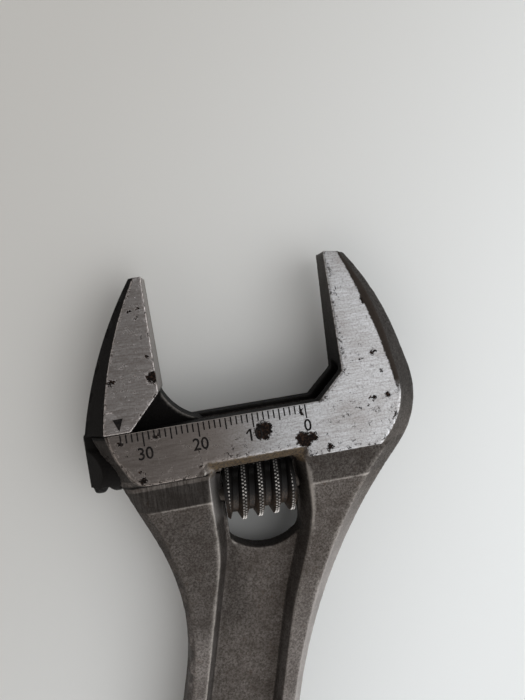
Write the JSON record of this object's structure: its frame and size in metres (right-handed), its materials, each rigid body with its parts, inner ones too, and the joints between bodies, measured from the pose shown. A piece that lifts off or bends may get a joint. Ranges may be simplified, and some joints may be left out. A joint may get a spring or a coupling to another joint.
{
  "type": "adjustable wrench",
  "caption": "Adjustable wrench with a forged handle, a sliding jaw driven by a knurled worm on a pin, and a millimetre scale beside the jaws.",
  "frame": {"origin": "centre of the hanging hole, on the wrench's mid-plane", "axes": "+Y along the handle towards the head, +Z out of the face with the scale, +X towards the fixed jaw's side"},
  "size_m": [0.0629, 0.2565, 0.0138],
  "materials": {
    "forged_steel": "worn dark forging scale with ground faces on the head",
    "jaw_steel": "ground faces, dark pitted edges",
    "worm_steel": "blackened, knurled crests worn bright",
    "pin_steel": "dark turned steel",
    "spring_wire": "drawn spring wire"
  },
  "bodies": {
    "wrench": {"wrench_body": "forged_steel", "worm_pin": "pin_steel"},
    "jaw": {"movable_jaw": "jaw_steel"},
    "worm": {"adjusting_worm": "worm_steel", "worm_spring": "spring_wire"}
  },
  "joints": [
    {"name": "jaw_slide", "type": "slide", "parent": "wrench", "child": "jaw", "axis": [0.9659, 0.2588, 0], "range_m": [0, 0.034]},
    {"name": "worm_spin", "type": "hinge", "parent": "wrench", "child": "worm", "pos_m": [-0.00137, 0.19623, 0], "axis": [0.9659, 0.2588, 0], "range_deg": [0, 3886.2]}
  ],
  "couplings": [
    {"joint": "worm_spin", "follows": "jaw_slide", "rad_per_m": 1994.7}
  ]
}
